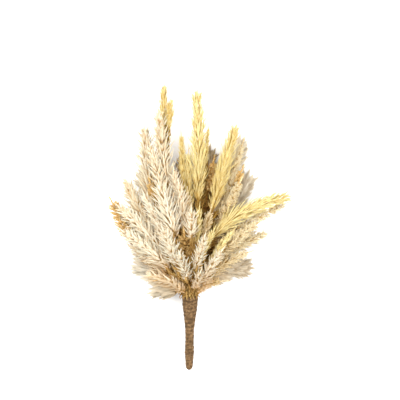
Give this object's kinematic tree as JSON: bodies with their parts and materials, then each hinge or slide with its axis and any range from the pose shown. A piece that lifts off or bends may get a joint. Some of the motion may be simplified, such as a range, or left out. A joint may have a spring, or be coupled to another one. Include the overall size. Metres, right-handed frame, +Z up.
{
  "type": "bundle of dried pampas grass",
  "caption": "Hand-tied fan of dried pampas plumes and finer grass heads, lying on its side, with the stems gathered in a tapered handle wound with jute tape.",
  "frame": {"origin": "under the middle of the bundle's bounding box, on the surface that it lies on", "axes": "+Y from the handle to the plume tips, +X across the fan, +Z up from the surface"},
  "size_m": [0.2798, 0.454, 0.116],
  "materials": {
    "jute_tape": "coarse woven",
    "cream_plume": "dry feathery",
    "straw_plume": "dry, fine strands",
    "gold_plume": "dry granular",
    "beige_plume": "dry granular",
    "soft_plume": "dry, soft and fluffy"
  },
  "bodies": {
    "root": {"wrap_jute_tape": "jute_tape", "plume_soft_01": "soft_plume", "plume_soft_02": "soft_plume", "plume_soft_03": "soft_plume", "plume_soft_04": "soft_plume", "plume_soft_05": "soft_plume", "plume_soft_06": "soft_plume", "plume_soft_07": "soft_plume", "plume_soft_08": "soft_plume", "plume_soft_09": "soft_plume", "plume_soft_10": "soft_plume", "plume_soft_11": "soft_plume", "plume_gold_01": "gold_plume", "plume_gold_02": "gold_plume", "plume_gold_03": "gold_plume", "plume_gold_04": "gold_plume", "plume_gold_05": "gold_plume", "plume_gold_06": "gold_plume", "plume_beige_01": "beige_plume", "plume_beige_02": "beige_plume", "plume_beige_03": "beige_plume", "plume_beige_04": "beige_plume", "plume_beige_05": "beige_plume", "plume_beige_06": "beige_plume", "plume_beige_07": "beige_plume", "plume_beige_08": "beige_plume", "plume_beige_09": "beige_plume", "plume_beige_10": "beige_plume", "plume_straw_01": "straw_plume", "plume_straw_02": "straw_plume", "plume_straw_03": "straw_plume", "plume_straw_04": "straw_plume", "plume_straw_05": "straw_plume", "plume_straw_06": "straw_plume", "plume_straw_07": "straw_plume", "plume_straw_08": "straw_plume", "plume_straw_09": "straw_plume", "plume_straw_10": "straw_plume", "plume_straw_11": "straw_plume", "plume_straw_12": "straw_plume", "plume_cream_01": "cream_plume", "plume_cream_02": "cream_plume", "plume_cream_03": "cream_plume", "plume_cream_04": "cream_plume", "plume_cream_05": "cream_plume", "plume_cream_06": "cream_plume", "plume_cream_07": "cream_plume", "plume_cream_08": "cream_plume", "plume_cream_09": "cream_plume", "plume_cream_10": "cream_plume", "plume_cream_11": "cream_plume", "plume_cream_12": "cream_plume", "plume_cream_13": "cream_plume", "plume_cream_14": "cream_plume", "plume_cream_15": "cream_plume", "plume_cream_16": "cream_plume", "plume_cream_17": "cream_plume", "plume_cream_18": "cream_plume", "plume_cream_19": "cream_plume", "plume_cream_20": "cream_plume"}
  },
  "joints": []
}
